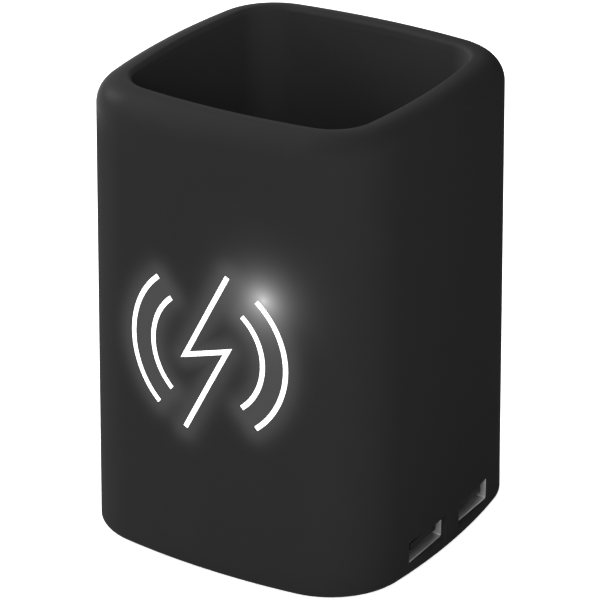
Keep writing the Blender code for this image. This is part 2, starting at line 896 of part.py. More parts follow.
def make_main_board():
    right = inside_reach(board_half_depth)
    back = inside_reach(board_tab_half_width)
    outline = [
        (-board_left, -board_half_depth),
        (right, -board_half_depth),
        (right, board_half_depth),
        (board_tab_half_width, board_half_depth),
        (board_tab_half_width, back),
        (-board_tab_half_width, back),
        (-board_tab_half_width, board_half_depth),
        (-board_left, board_half_depth),
    ]
    board = add_prism("main_board", outline, "Z", board_z, board_top_z, board_green)
    for index, (x, y) in enumerate(post_places):
        hole = add_cylinder(
            f"board_hole_{index}", x, y, board_screw_radius + fit_gap,
            board_z - cut_overrun, board_top_z + cut_overrun, screw_sides, None,
        )
        cut_from(board, hole)
    for index, side in enumerate((-1, 1)):
        notch = add_prism(
            f"port_notch_{index}",
            rectangle(side * usb_a_pitch / 2, board_z, usb_a_mouth_width + 2 * fit_gap, 4 * board_thickness),
            "X", usb_a_front_x - usb_a_length - fit_gap, usb_a_front_x + cut_overrun, None,
        )
        cut_from(board, notch)
    return board


def board_place(share):
    """A place on the board, from shares of its left reach and half depth."""
    return share[0] * board_left, share[1] * board_half_depth


def add_board_part(name, x, y, size, finish):
    return add_box(
        name,
        (x - size[0] / 2, y - size[1] / 2, part_z),
        (x + size[0] / 2, y + size[1] / 2, part_z + size[2]), finish,
    )


def coil_header_place():
    return coil_header_x_share * board_tab_half_width, inside_reach(board_tab_half_width) - coil_header_edge


def make_board_parts():
    add_board_part("control_chip", *board_place(chip_share), chip_size, chip_black)
    add_board_part("power_regulator", *board_place(regulator_share), regulator_size, chip_black)
    add_board_part("power_inductor", *board_place(inductor_share), inductor_size, ferrite_grey)
    x, y = board_place(resonance_capacitor_share)
    for index in range(3):
        add_board_part(
            f"resonance_capacitor_{index + 1}", x + index * resonance_capacitor_pitch, y,
            resonance_capacitor_size, ceramic,
        )
    x, y = board_place(bulk_capacitor_share)
    add_cylinder(
        "bulk_capacitor", x, y, bulk_capacitor_radius, part_z, part_z + bulk_capacitor_height,
        boss_sides, tin,
    )
    add_board_part("led_header", *board_place(led_header_share), header_size, nylon)
    add_board_part("coil_header", *coil_header_place(), header_size, nylon)


# Connectors
def make_usb_a(index, y):
    """One outlet: steel shell, insulator with its tongue, and four contacts."""
    back = usb_a_front_x - usb_a_length
    neck = usb_a_front_x - usb_a_flare_depth
    rings = []
    stops = (
        (0, 0, back), (0, 0, neck), (0, usb_a_flare, usb_a_front_x),
        (usb_a_sheet, usb_a_flare, usb_a_front_x), (usb_a_sheet, 0, neck), (usb_a_sheet, 0, back),
    )
    for inset, flare, x in stops:
        outline = rounded_rectangle(
            y, port_middle_z, usb_a_width + 2 * (flare - inset), usb_a_height - 2 * inset,
            usb_a_corner - inset, sheet_corner_steps,
        )
        rings.append([place("X", u, v, x) for u, v in outline])
    add_rings(f"usb_a_shell_{index}", rings, steel, looped=True)
    tongue_z = port_low_z + usb_a_sheet + tongue_lift
    front = usb_a_front_x - tongue_recess
    block = front - tongue_length
    wide = usb_a_width / 2 - usb_a_sheet - fit_gap
    narrow = tongue_width / 2
    outline = [
        (back, y - wide),
        (block, y - wide),
        (block, y - narrow),
        (front, y - narrow),
        (front, y + narrow),
        (block, y + narrow),
        (block, y + wide),
        (back, y + wide),
    ]
    add_prism(
        f"usb_a_tongue_{index}", outline, "Z", tongue_z, tongue_z + tongue_thickness, chip_black
    )
    for number, share in enumerate(contact_shares):
        add_contact(f"usb_a_contact_{index}_{number + 1}", y + share * tongue_width, back, tongue_z)


def add_contact(name, y, back, tongue_z):
    """A spring contact under the tongue that bends down to the board behind the shell."""
    top = tongue_z - fit_gap
    under = top - contact_thickness
    front = usb_a_front_x - tongue_recess - contact_recess
    leg_front = back - fit_gap
    leg_back = leg_front - contact_leg
    points = [
        (front, top), (leg_back, top), (leg_back, part_z),
        (leg_front, part_z), (leg_front, under), (front, under),
    ]
    rings = []
    for side in (-contact_width / 2, contact_width / 2):
        rings.append([Vector((x, y + side, z)) for x, z in points])
    add_rings(name, rings, gold)


def make_usb_c():
    height = usb_c_height
    outer = rounded_rectangle(0, usb_c_middle_z, usb_c_width, height, height / 2, fillet_steps)
    bore = height - 2 * usb_c_sheet
    inner = rounded_rectangle(
        0, usb_c_middle_z, usb_c_width - 2 * usb_c_sheet, bore, bore / 2, fillet_steps
    )
    back = usb_c_front_y - usb_c_length
    add_sleeve("usb_c_shell", outer, inner, "Y", back, usb_c_front_y, steel)
    narrow = usb_c_tongue_width / 2
    wide = usb_c_width / 2 - bore / 2
    middle = back + usb_c_length / 3
    front = usb_c_front_y - usb_c_tongue_recess
    outline = [
        (-wide, back), (wide, back), (wide, middle), (narrow, middle),
        (narrow, front), (-narrow, front), (-narrow, middle), (-wide, middle),
    ]
    low = usb_c_middle_z - usb_c_tongue_thickness / 2
    add_prism(
        "usb_c_tongue", outline, "Z", low, low + usb_c_tongue_thickness, chip_black
    )


# Internal leads, each held from end to end
def make_leads():
    header_x, header_y = coil_header_place()
    header_top = part_z + header_size[2] + fit_gap
    outer_x = -coil_outer_radius
    cross_y = coil_y + coil_wire_radius + fit_gap + lead_radius
    inner_x = -coil_inner_radius
    drop_x = inner_x / 2
    low_z = min(coil_z - ferrite_half_width, cup_floor_z + cup_ear_thickness)
    add_wire("coil_lead_outer", smooth_route([
        (outer_x, coil_y, coil_z - fit_gap),
        (outer_x, coil_y, (coil_z + low_z) / 2),
        (outer_x, coil_y, low_z),
        ((outer_x + header_x) / 2, (coil_y + header_y) / 2, (low_z + header_top) / 2),
        (header_x - lead_pitch / 2, header_y, header_top + header_size[2] / 2),
        (header_x - lead_pitch / 2, header_y, header_top),
    ], lead_steps), lead_radius, 2, lead_black)
    bend = 2 * lead_radius
    add_wire("coil_lead_inner", smooth_route([
        (inner_x + fit_gap, coil_y, coil_z + fit_gap + bend / 2),
        (inner_x + bend, (coil_y + cross_y) / 2, coil_z + 2 * bend),
        (drop_x, cross_y, coil_z + bend),
        (drop_x, cross_y, coil_z - 2 * bend),
        (drop_x, cross_y, (coil_z + low_z) / 2),
        (drop_x, cross_y, low_z),
        ((drop_x + header_x) / 2, (cross_y + header_y) / 2, (low_z + header_top) / 2),
        (header_x + lead_pitch / 2, header_y, header_top + header_size[2] / 2),
        (header_x + lead_pitch / 2, header_y, header_top),
    ], lead_steps), lead_radius, 2, lead_red)
    header_x, header_y = board_place(led_header_share)
    start_y = -guide_y
    start_z = led_board_z - fit_gap
    bend_z = min(start_z, cup_base_z) - header_size[2]
    for side, name, finish in ((-1, "led_lead_outer", lead_black), (1, "led_lead_inner", lead_red)):
        start_x = -(guide_half_width + led_shelf_half_width) / 2 + side * lead_pitch / 2
        end_x = header_x + side * lead_pitch / 2
        add_wire(name, smooth_route([
            (start_x, start_y, start_z),
            (start_x, start_y, bend_z),
            ((start_x + end_x) / 2, (start_y + header_y) / 2, (bend_z + header_size[2] + header_top) / 2),
            (end_x, header_y, header_top + header_size[2] / 2),
            (end_x, header_y, header_top),
        ], lead_steps), lead_radius, 2, finish)


def main():
    for item in list(bpy.data.objects):
        bpy.data.objects.remove(item, do_unlink=True)
    make_outer_shell()
    make_inner_cup()
    make_base_cover()
    make_feet()
    make_screws()
    make_light_guide()
    make_lamps()
    make_coil()
    make_main_board()
    make_board_parts()
    make_usb_a(1, -usb_a_pitch / 2)
    make_usb_a(2, usb_a_pitch / 2)
    make_usb_c()
    make_leads()


main()
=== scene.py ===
"""Looks of the desk pen holder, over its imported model.

Metres, +Z up: the lit mark faces -Y, the USB-A outlets face +X and the charging coil lies
inside the back wall, at +Y.
"""

import math

import bmesh
import bpy
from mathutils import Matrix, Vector


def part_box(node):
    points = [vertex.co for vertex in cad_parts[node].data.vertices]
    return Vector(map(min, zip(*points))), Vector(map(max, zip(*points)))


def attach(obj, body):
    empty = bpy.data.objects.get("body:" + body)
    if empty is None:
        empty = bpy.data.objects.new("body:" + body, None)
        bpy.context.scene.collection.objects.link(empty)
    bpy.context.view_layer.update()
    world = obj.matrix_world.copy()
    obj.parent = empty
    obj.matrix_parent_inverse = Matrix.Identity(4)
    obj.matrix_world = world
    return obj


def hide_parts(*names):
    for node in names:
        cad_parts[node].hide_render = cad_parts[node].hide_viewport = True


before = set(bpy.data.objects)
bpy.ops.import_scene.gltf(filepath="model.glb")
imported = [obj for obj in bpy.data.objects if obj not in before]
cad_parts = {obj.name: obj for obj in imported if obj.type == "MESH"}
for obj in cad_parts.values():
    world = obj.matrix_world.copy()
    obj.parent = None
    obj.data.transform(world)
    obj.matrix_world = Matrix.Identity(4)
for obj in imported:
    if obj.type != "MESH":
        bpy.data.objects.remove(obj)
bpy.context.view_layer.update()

# Clearances and cutters
fit_gap = 0.0003
slot_gap = 0.00004
seam_gap = 0.00002
overrun = 0.001

# Body and its opening
body_height = 0.10405
top_half_width = 0.0360
base_spread = 0.00162
corner_radius = 0.0167
side_bow = 0.00132
body_wall = 0.0024
rim_run = 0.00595
rim_rise = 0.00592
base_fillet = 0.0002
opening_inset = 0.00756
opening_fillet = 0.0012

# Pen cup
cup_wall = 0.0014
cup_draft = 0.0026
cup_floor_height = 0.0314
cup_floor_thickness = 0.0020
cup_floor_fillet = 0.0030
seat_proud = 0.0002
ear_spread = 0.0100
ear_thickness = 0.0018

# Base, feet and screws
foot_stand = 0.0006
foot_radius = 0.0045
foot_edge = 0.0002
foot_recess = 0.0006
base_thickness = 0.0015
base_rim_gap = 0.0003
base_edge = 0.00015
boss_radius = 0.0032
boss_height = 0.0190
boss_web = 0.0024
ear_boss_radius = 0.0022
ear_boss_height = 0.0080
ear_web = 0.0040
post_radius = 0.0022
post_height = 0.0002
post_bore_depth = 0.0008

# Screws: radius of the shank, radius and height of the head
screw_sizes = {
    "base": (0.00125, 0.0024, 0.0006),
    "cup": (0.0009, 0.0016, 0.0010),
    "board": (0.0008, 0.0017, 0.0010),
}

# Lit mark and light guide
mark_height = 0.0518
mark_side_margin = 0.0006
mark_half_angle = math.radians(50)
stroke_width = 0.0011
stroke_sink = 0.00002
guide_overhang = 0.0003
guide_thickness = 0.0015
lamp_shelf_web = 0.0020
lamp_shelf_depth = 0.0069
lamp_shelf_reach_share = 2 / 3
inner_arc_share = 0.7204
bolt_half_width_share = 0.2796
bolt_half_height_share = 0.9800
bolt_slant_share = 0.0860

# USB-A outlets and power inlet
usb_a_width = 0.0132
usb_a_height = 0.0053
usb_a_length = 0.0140
usb_a_corner = 0.0006
usb_a_flare = 0.0006
usb_a_flare_depth = 0.0005
usb_a_mouth_depth = 0.0030
socket_gap = 0.0001
usb_c_clearance = 0.0004
socket_sheet = 0.0003
tongue_edge = 0.00018

# Edges and recesses, as shares of what they are cut in
sheet_edge_share = 0.35
edge_nip_share = 0.3
head_edge_share = 0.25
recess_arm_share = 0.62
recess_slit_share = 0.14
recess_depth_share = 0.6
finger_place_share = 0.22
finger_front_share = 0.30
finger_length_share = 0.36
finger_width_share = 0.16
finger_cut_share = 1.5

# How finely round shapes are divided
side_steps = 28
corner_steps = 26
rim_steps = 26
fillet_steps = 10
wall_steps = 16
arc_steps = 48
edge_steps = 3
small_edge_steps = 2
bore_sides = 40
boss_sides = 48
foot_sides = 64

# Angles in degrees: an edge stays sharp above smooth_angle, or above cut_angle on a piece with cuts, and is
# rounded above soften_angle. In a copied mesh, edges below flat_angle go and corners this close join.
smooth_angle = 35
cut_angle = 30
soften_angle = 40
flat_angle = 0.5
weld_distance = 0.000002

# Noise in the finishes: the part of its range that counts, then how it mottles, grains and draws lines
noise_range = (0.3, 0.7)
mottle_scale = 220.0
mottle_detail = 3.0
mottle_gloss = 0.04
grain_detail = 3.0
grain_roughness = 0.6
grain_strength = 0.5
line_stretch = 0.06
line_detail = 4.0
line_roughness = 0.65
line_shade = 0.90
line_gloss = (-0.06, 0.08)
line_strength = 0.15
line_depth = 0.00002

# Coat of the body: its tone, or the cup's lighter tone where it faces inwards, as painted light on the lip,
# and its rim rubbed smoother.
# The wear fades towards the far right corner, between two places taken as x + y.
coat_colour = (0.0200, 0.0200, 0.0205)
# The cup's tone is lighter than the coat's: painted light that lifts the shade in the pen well.
cup_painted_light_colour = (0.0300, 0.0300, 0.0306)
lip_light_facing = (-0.95, -0.40)
coat_spread = 0.05
coat_roughness = 0.85
coat_gloss = 0.004
coat_grain = 5200.0
coat_depth = 0.00002
rim_wear = 0.49
wear_fade = (0.030, 0.055)

# Painted glow round the mark, emitted by the coat: its strength beside a stroke and at a painted flare, and
# how far it fades
halo_peak = 0.040
halo_run = 0.0030
flare_place = (0.0139, 0.0152)
flare_peak = 0.62
flare_run = 0.0030
glow_wrap = 0.0060
guide_light = 1.15

# Floor and backdrop
floor_size = 6.0
floor_shade = 0.70
floor_roughness = 0.9
floor_gloss = 0.1
floor_lift = 0.80
world_level = 0.04
backdrop_level = 1.0

# Each lamp: its azimuth and elevation in degrees, its distance, its size and its power in watts
lamps = {
    "left": (-90, 30, 1.10, 0.50, 20.8),
    "back_left": (-110, 50, 1.10, 0.50, 3.4),
    "front": (10, 15, 0.60, 0.27, 0.72),
    "key": (27, 32, 0.55, 0.25, 1.05),
    "right": (50, 10, 1.10, 0.50, 2.9),
    "top": (45, 70, 1.10, 0.50, 3.7),
}

# The camera stands where the photograph's camera stood
camera_azimuth = 31.9788
camera_elevation = 25.2757
camera_place = (0.325131, -0.521643, 0.339694)
camera_lens = 186.18

# Shapes that follow from these sizes
plan_half = top_half_width - corner_radius
bow_radius = (plan_half ** 2 + side_bow ** 2) / (2 * side_bow)
bow_angle = math.asin(plan_half / bow_radius)
bow_centre = plan_half + side_bow - bow_radius
opening_offset = corner_radius - opening_inset
guide_half_width = plan_half + guide_overhang
mark_radius = guide_half_width - mark_side_margin
bolt_half_width = mark_radius * bolt_half_width_share
bolt_half_height = mark_radius * bolt_half_height_share
bolt_slant = mark_radius * bolt_slant_share
bolt_knots = (
    (bolt_half_width, bolt_half_height), (-bolt_half_width, -bolt_slant),
    (bolt_half_width, bolt_slant), (-bolt_half_width, -bolt_half_height),
)
arc_radii = (mark_radius * inner_arc_share, mark_radius)
shell_base_z = foot_stand
shell_top_z = shell_base_z + body_height
rim_z = shell_top_z - rim_rise
cup_floor_z = shell_base_z + cup_floor_height
cup_base_z = cup_floor_z - cup_floor_thickness
base_top_z = shell_base_z + base_thickness
mark_z = shell_base_z + mark_height


# Outlines
def body_offset(z):
    """How far the body stands outside the plan's corner centres: its walls lean out towards the base."""
    return corner_radius + base_spread * (1 - (z - shell_base_z) / body_height)


def inside_offset(z):
    return body_offset(z) - body_wall


def cup_offset(z):
    """The same for the pen well, which narrows towards its floor."""
    return opening_offset - cup_draft * (shell_top_z - z) / (shell_top_z - cup_floor_z)


def reach(offset, along):
    """Distance from the middle to a side of the outline, at one place along that side."""
    if abs(along) <= (bow_radius + offset) * math.sin(bow_angle):
        return bow_centre + math.sqrt((bow_radius + offset) ** 2 - along ** 2)
    return plan_half + math.sqrt(offset ** 2 - (abs(along) - plan_half) ** 2)


def plan(offset, z):
    """The closed plan outline at one offset and height."""
    quarter = []
    for step in range(side_steps + 1):
        angle = bow_angle * (2 * step / side_steps - 1)
        radius = bow_radius + offset
        quarter.append((bow_centre + radius * math.cos(angle), radius * math.sin(angle)))
    for step in range(1, corner_steps):
        angle = bow_angle + (math.pi / 2 - 2 * bow_angle) * step / corner_steps
        quarter.append((plan_half + offset * math.cos(angle), plan_half + offset * math.sin(angle)))
    points = []
    for turn in range(4):
        cosine = math.cos(turn * math.pi / 2)
        sine = math.sin(turn * math.pi / 2)
        points += [Vector((x * cosine - y * sine, x * sine + y * cosine, z)) for x, y in quarter]
    return points


def quarter_arc(centre, run, rise, start, end, steps):
    """Points of an elliptic arc, as (offset, z) pairs."""
    pairs = []
    for step in range(steps + 1):
        angle = math.radians(start + (end - start) * step / steps)
        pairs.append((centre[0] + run * math.cos(angle), centre[1] + rise * math.sin(angle)))
    return pairs


def levels(low, high):
    """Heights spaced evenly from one to another."""
    return [low + (high - low) * step / wall_steps for step in range(wall_steps + 1)]


def diagonal_places(offset):
    """The outline's points on the diagonals, in the order of the base's screws."""
    spot = plan_half + offset / math.sqrt(2)
    return [(spot, spot), (-spot, spot), (-spot, -spot), (spot, -spot)]


def rounded_rectangle(u, v, width, height, radius, steps):
    points = []
    for turn, (side_u, side_v) in enumerate(((1, 1), (-1, 1), (-1, -1), (1, -1))):
        centre_u = u + side_u * (width / 2 - radius)
        centre_v = v + side_v * (height / 2 - radius)
        for step in range(steps + 1):
            angle = math.pi / 2 * (turn + step / steps)
            points.append((centre_u + radius * math.cos(angle), centre_v + radius * math.sin(angle)))
    return points


def middle(node):
    """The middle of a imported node's box."""
    low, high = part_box(node)
    return (low + high) / 2


# Places that pieces share
guide_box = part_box("light_guide")
port_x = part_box("usb_a_shell_1")[1].x
port_z = middle("usb_a_shell_1").z
inlet_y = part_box("usb_c_shell")[1].y
inlet_z = middle("usb_c_shell").z
guide_back_reach = reach(cup_offset(guide_box[1].z) + cup_wall, 0) + seat_proud + 3 * fit_gap
guide_foot_y = -guide_back_reach - guide_thickness
cutter_front_y = -reach(body_offset(shell_base_z), 0) - overrun


# Mesh helpers
def link_object(name, data):
    item = bpy.data.objects.new(name, data)
    bpy.context.scene.collection.objects.link(item)
    return item


def shade(item, degrees):
    item.data.shade_smooth()
    item.data.set_sharp_from_angle(angle=math.radians(degrees))


def add_object(name, points, faces, smooth=True):
    mesh = bpy.data.meshes.new(name)
    shape = bmesh.new()
    corners = [shape.verts.new(point) for point in points]
    for face in faces:
        shape.faces.new([corners[index] for index in face])
    bmesh.ops.recalc_face_normals(shape, faces=shape.faces)
    shape.to_mesh(mesh)
    shape.free()
    item = link_object(name, mesh)
    if smooth:
        shade(item, smooth_angle)
    return item


def add_rings(name, rings, looped=False, smooth=True):
    """Skin through equal rings of points, capped at both ends or joined end to end."""
    size = len(rings[0])
    points = [point for ring in rings for point in ring]
    faces = []
    for row in range(len(rings) if looped else len(rings) - 1):
        low = row * size
        high = (row + 1) % len(rings) * size
        for column in range(size):
            following = (column + 1) % size
            faces.append((low + column, low + following, high + following, high + column))
    if not looped:
        faces.append(tuple(range(size)))
        faces.append(tuple(range(len(points) - size, len(points))))
    return add_object(name, points, faces, smooth)


def place(axis, u, v, w):
    """The point at u and v in an outline across an axis, and at w along it."""
    if axis == "X":
        return Vector((w, u, v))
    if axis == "Y":
        return Vector((u, w, v))
    return Vector((u, v, w))


def add_prism(name, outline, axis, low, high, smooth=True):
    rings = [[place(axis, u, v, w) for u, v in outline] for w in (low, high)]
    return add_rings(name, rings, smooth=smooth)


def add_box(name, low, high):
    corners = [(low[0], low[1]), (high[0], low[1]), (high[0], high[1]), (low[0], high[1])]
    return add_prism(name, corners, "Z", low[2], high[2], smooth=False)


def add_turned(name, profile, x, y, sides):
    """A profile of (radius, z) pairs turned about an upright axis; it starts and ends on the axis."""
    points = [Vector((x, y, profile[0][1]))]
    for radius, z in profile[1:-1]:
        for side in range(sides):
            angle = 2 * math.pi * side / sides
            points.append(Vector((x + radius * math.cos(angle), y + radius * math.sin(angle), z)))
    points.append(Vector((x, y, profile[-1][1])))
    last = len(points) - 1
    faces = []
    for side in range(sides):
        following = (side + 1) % sides
        faces.append((0, 1 + side, 1 + following))
        for row in range(len(profile) - 3):
            low = 1 + row * sides
            high = low + sides
            faces.append((low + side, low + following, high + following, high + side))
        faces.append((last, last - sides + side, last - sides + following))
    return add_object(name, points, faces)


def add_cylinder(name, x, y, radius, low, high, sides):
    turns = [2 * math.pi * side / sides for side in range(sides)]
    circle = [(x + radius * math.cos(turn), y + radius * math.sin(turn)) for turn in turns]
    return add_prism(name, circle, "Z", low, high)


def copy_node(node, name):
    """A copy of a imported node's mesh, with its doubled corners joined."""
    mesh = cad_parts[node].data.copy()
    shape = bmesh.new()
    shape.from_mesh(mesh)
    bmesh.ops.remove_doubles(shape, verts=shape.verts, dist=weld_distance)
    bmesh.ops.dissolve_limit(
        shape, angle_limit=math.radians(flat_angle), verts=shape.verts, edges=shape.edges
    )
    shape.to_mesh(mesh)
    shape.free()
    item = link_object(name, mesh)
    shade(item, smooth_angle)
    return item


def settle(item):
    """Applies every modifier to the mesh."""
    bpy.context.view_layer.update()
    depsgraph = bpy.context.evaluated_depsgraph_get()
    finished = bpy.data.meshes.new_from_object(item.evaluated_get(depsgraph))
    item.modifiers.clear()
    item.data = finished


def combine(target, tools, operation):
    """Booleans with each tool in turn, applied to the mesh; the tools are used up."""
    for tool in tools:
        modifier = target.modifiers.new(tool.name, "BOOLEAN")
        modifier.operation = operation
        modifier.object = tool
        modifier.solver = "EXACT"
    settle(target)
    for tool in tools:
        bpy.data.objects.remove(tool, do_unlink=True)


def soften(item, width, steps=edge_steps):
    """Rounds the hard edges of a piece."""
    modifier = item.modifiers.new("soften", "BEVEL")
    modifier.width = width
    modifier.segments = steps
    modifier.limit_method = "ANGLE"
    modifier.angle_limit = math.radians(soften_angle)
    modifier.use_clamp_overlap = True
    settle(item)
    shade(item, soften_angle)


def finish_piece(item, material, slot, *nodes):
    """Gives a piece its material and its body, and hides the nodes that it stands for; the slot is not
    used.
    """
    item.data.materials.clear()
    item.data.materials.append(material)
    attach(item, "root")
    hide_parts(*nodes)


# Node helpers for materials
class Nodes:
    """Builds a material's node tree a node at a time."""

    def __init__(self, name):
        self.material = bpy.data.materials.new(name)
        self.material.use_nodes = True
        self.tree = self.material.node_tree
        self.shader = self.tree.nodes["Principled BSDF"]

    def link(self, value, socket):
        if isinstance(value, bpy.types.NodeSocket):
            self.tree.links.new(value, socket)
        else:
            socket.default_value = value

    def paint(self, value, socket):
        """Links a socket or a number as it is, and a colour with its alpha."""
        self.link((*value, 1.0) if isinstance(value, tuple) else value, socket)

    def set(self, **values):
        for name, value in values.items():
            self.paint(value, self.shader.inputs[name.replace("_", " ")])

    def math(self, operation, first, second=0.0, third=0.0):
        node = self.tree.nodes.new("ShaderNodeMath")
        node.operation = operation
        for value, socket in zip((first, second, third), node.inputs):
            self.link(value, socket)
        return node.outputs[0]

    def vector_math(self, operation, *values):
        node = self.tree.nodes.new("ShaderNodeVectorMath")
        node.operation = operation
        for value, socket in zip(values, node.inputs):
            self.link(value, socket)
        return node.outputs["Value" if operation == "DOT_PRODUCT" else "Vector"]

    def position(self):
        return self.tree.nodes.new("ShaderNodeTexCoord").outputs["Object"]

    def axes(self):
        """The x, y and z of the shaded point."""
        node = self.tree.nodes.new("ShaderNodeSeparateXYZ")
        self.link(self.position(), node.inputs[0])
        return node.outputs

    def length(self, across, along):
        """Length of a flat vector, from its two parts."""
        first = self.math("MULTIPLY", across, across)
        second = self.math("MULTIPLY", along, along)
        return self.math("SQRT", self.math("ADD", first, second))

    def noise(self, scale, detail, roughness=0.5, vector=None):
        node = self.tree.nodes.new("ShaderNodeTexNoise")
        node.inputs["Scale"].default_value = scale
        node.inputs["Detail"].default_value = detail
        node.inputs["Roughness"].default_value = roughness
        self.link(vector or self.position(), node.inputs["Vector"])
        return node.outputs["Fac"]

    def remap(self, value, low, high, to_low, to_high):
        node = self.tree.nodes.new("ShaderNodeMapRange")
        for socket, number in zip(node.inputs[1:5], (low, high, to_low, to_high)):
            socket.default_value = number
        self.link(value, node.inputs["Value"])
        return node.outputs["Result"]

    def tint(self, fac, first, second):
        """From one colour to another, each a tuple or a socket."""
        node = self.tree.nodes.new("ShaderNodeMix")
        node.data_type = "RGBA"
        self.link(fac, node.inputs["Factor"])
        self.paint(first, node.inputs["A"])
        self.paint(second, node.inputs["B"])
        return node.outputs["Result"]

    def painted_lip_light(self):
        """Mask of the painted light on the opening's lip: how far the surface faces the middle, 1 on the
        lip, 0 outside.
        """
        flat = self.vector_math("MULTIPLY", self.position(), (1.0, 1.0, 0.0))
        normal = self.tree.nodes.new("ShaderNodeNewGeometry").outputs["Normal"]
        facing = self.vector_math("DOT_PRODUCT", self.vector_math("NORMALIZE", flat), normal)
        return self.remap(facing, *lip_light_facing, 1.0, 0.0)

    def mottle(self, colour, spread, roughness):
        """An uneven colour and an uneven roughness, from one broad noise."""
        broad = self.noise(mottle_scale, mottle_detail)
        dark = tuple(value * (1 - spread) for value in colour)
        light = tuple(value * (1 + spread) for value in colour)
        gloss = (roughness - mottle_gloss, roughness + mottle_gloss)
        return self.tint(broad, dark, light), self.remap(broad, *noise_range, *gloss)

    def bump(self, height, strength, distance):
        node = self.tree.nodes.new("ShaderNodeBump")
        node.inputs["Strength"].default_value = strength
        node.inputs["Distance"].default_value = distance
        self.link(height, node.inputs["Height"])
        self.tree.links.new(node.outputs["Normal"], self.shader.inputs["Normal"])

    def grain(self, scale, depth):
        self.bump(self.noise(scale, grain_detail, grain_roughness), grain_strength, depth)


def grained(name, colour, spread, roughness, scale, depth, **fixed):
    """A moulded or painted finish: mottled colour, uneven gloss and a fine grain."""
    nodes = Nodes(name)
    tone, uneven = nodes.mottle(colour, spread, roughness)
    nodes.set(Base_Color=tone, Roughness=uneven, **fixed)
    nodes.grain(scale, depth)
    return nodes.material


def brushed(name, colour, roughness, scale, axis):
    """A drawn or rolled metal, with fine lines along one axis."""
    nodes = Nodes(name)
    mapping = nodes.tree.nodes.new("ShaderNodeMapping")
    mapping.inputs["Scale"].default_value = [line_stretch if index == axis else 1.0 for index in range(3)]
    nodes.link(nodes.position(), mapping.inputs["Vector"])
    lines = nodes.noise(scale, line_detail, line_roughness, mapping.outputs["Vector"])
    dark = tuple(value * line_shade for value in colour)
    gloss = [roughness + change for change in line_gloss]
    nodes.set(Base_Color=nodes.tint(lines, dark, colour), Metallic=1.0)
    nodes.set(Roughness=nodes.remap(lines, *noise_range, *gloss))
    nodes.bump(lines, line_strength, line_depth)
    return nodes.material


def coated(name):
    """The body's coat: painted light on its lip in the cup's lighter tone, a rim rubbed smoother, and a
    painted glow round the mark.
    """
    nodes = Nodes(name)
    tone, uneven = nodes.mottle(coat_colour, coat_spread, coat_roughness)
    x, y, z = nodes.axes()
    worn = nodes.remap(z, rim_z - rim_rise, rim_z, 0.0, rim_wear)
    kept = nodes.remap(x, top_half_width - rim_run, top_half_width, 1.0, 0.0)
    worn = nodes.math("MULTIPLY", worn, kept)
    kept = nodes.remap(nodes.math("ADD", x, y), *wear_fade, 1.0, 0.0)
    worn = nodes.math("MULTIPLY", worn, kept)
    # Base colour: painted light on the lip, in the cup's lighter tone; emission: the painted glow round the
    # mark.
    nodes.set(
        Base_Color=nodes.tint(nodes.painted_lip_light(), tone, cup_painted_light_colour),
        Roughness=nodes.math("SUBTRACT", uneven, worn), Specular_IOR_Level=coat_gloss,
        Emission_Color=(1.0, 1.0, 1.0), Emission_Strength=glow(nodes),
    )
    nodes.grain(coat_grain, coat_depth)
    return nodes.material


def glow(nodes):
    """Painted glow: light that the lit mark seems to throw on the coat round it, emitted by distance from
    each stroke, with a painted flare.
    """
    x, y, z = nodes.axes()
    up = nodes.math("SUBTRACT", z, mark_z)
    side = nodes.math("ABSOLUTE", x)
    height = nodes.math("ABSOLUTE", up)
    radial = nodes.length(x, up)

    def distance(across, along, centre):
        shifts = [nodes.math("SUBTRACT", value, start) for value, start in zip((across, along), centre)]
        return nodes.length(*shifts)

    def segment(first, second):
        """Distance from a straight stroke."""
        span = Vector(second) - Vector(first)
        shift_x = nodes.math("SUBTRACT", x, first[0])
        shift_z = nodes.math("SUBTRACT", up, first[1])
        along_x = nodes.math("MULTIPLY", shift_x, span.x)
        along_z = nodes.math("MULTIPLY", shift_z, span.y)
        share = nodes.math("DIVIDE", nodes.math("ADD", along_x, along_z), span.length_squared)
        share = nodes.math("MINIMUM", nodes.math("MAXIMUM", share, 0.0), 1.0)
        rest_x = nodes.math("SUBTRACT", shift_x, nodes.math("MULTIPLY", share, span.x))
        rest_z = nodes.math("SUBTRACT", shift_z, nodes.math("MULTIPLY", share, span.y))
        return nodes.length(rest_x, rest_z)

    def halo(gap):
        clear = nodes.math("MAXIMUM", nodes.math("SUBTRACT", gap, stroke_width / 2), 0.0)
        share = nodes.math("DIVIDE", clear, halo_run)
        power = nodes.math("MULTIPLY", nodes.math("MULTIPLY", share, share), -1.0)
        return nodes.math("MULTIPLY", nodes.math("EXPONENT", power), halo_peak)

    beyond = nodes.math("GREATER_THAN", height, nodes.math("MULTIPLY", side, math.tan(mark_half_angle)))
    total = 0.0
    for radius in arc_radii:
        tip = (radius * math.cos(mark_half_angle), radius * math.sin(mark_half_angle))
        along_arc = nodes.math("ABSOLUTE", nodes.math("SUBTRACT", radial, radius))
        spread = nodes.math("SUBTRACT", distance(side, height, tip), along_arc)
        gap = nodes.math("MULTIPLY_ADD", beyond, spread, along_arc)
        total = nodes.math("ADD", halo(gap), total)
    gap = segment(*bolt_knots[:2])
    for first, second in zip(bolt_knots[1:], bolt_knots[2:]):
        gap = nodes.math("MINIMUM", segment(first, second), gap)
    total = nodes.math("ADD", halo(gap), total)
    # A painted flare: a round spot of painted light near one tip of the outer arc.
    flare = nodes.math("DIVIDE", distance(x, up, flare_place), -flare_run)
    total = nodes.math("ADD", nodes.math("MULTIPLY", nodes.math("EXPONENT", flare), flare_peak), total)
    corner = -reach(body_offset(shell_top_z), plan_half)
    return nodes.math("MULTIPLY", total, nodes.remap(y, corner, corner + glow_wrap, 1.0, 0.0))


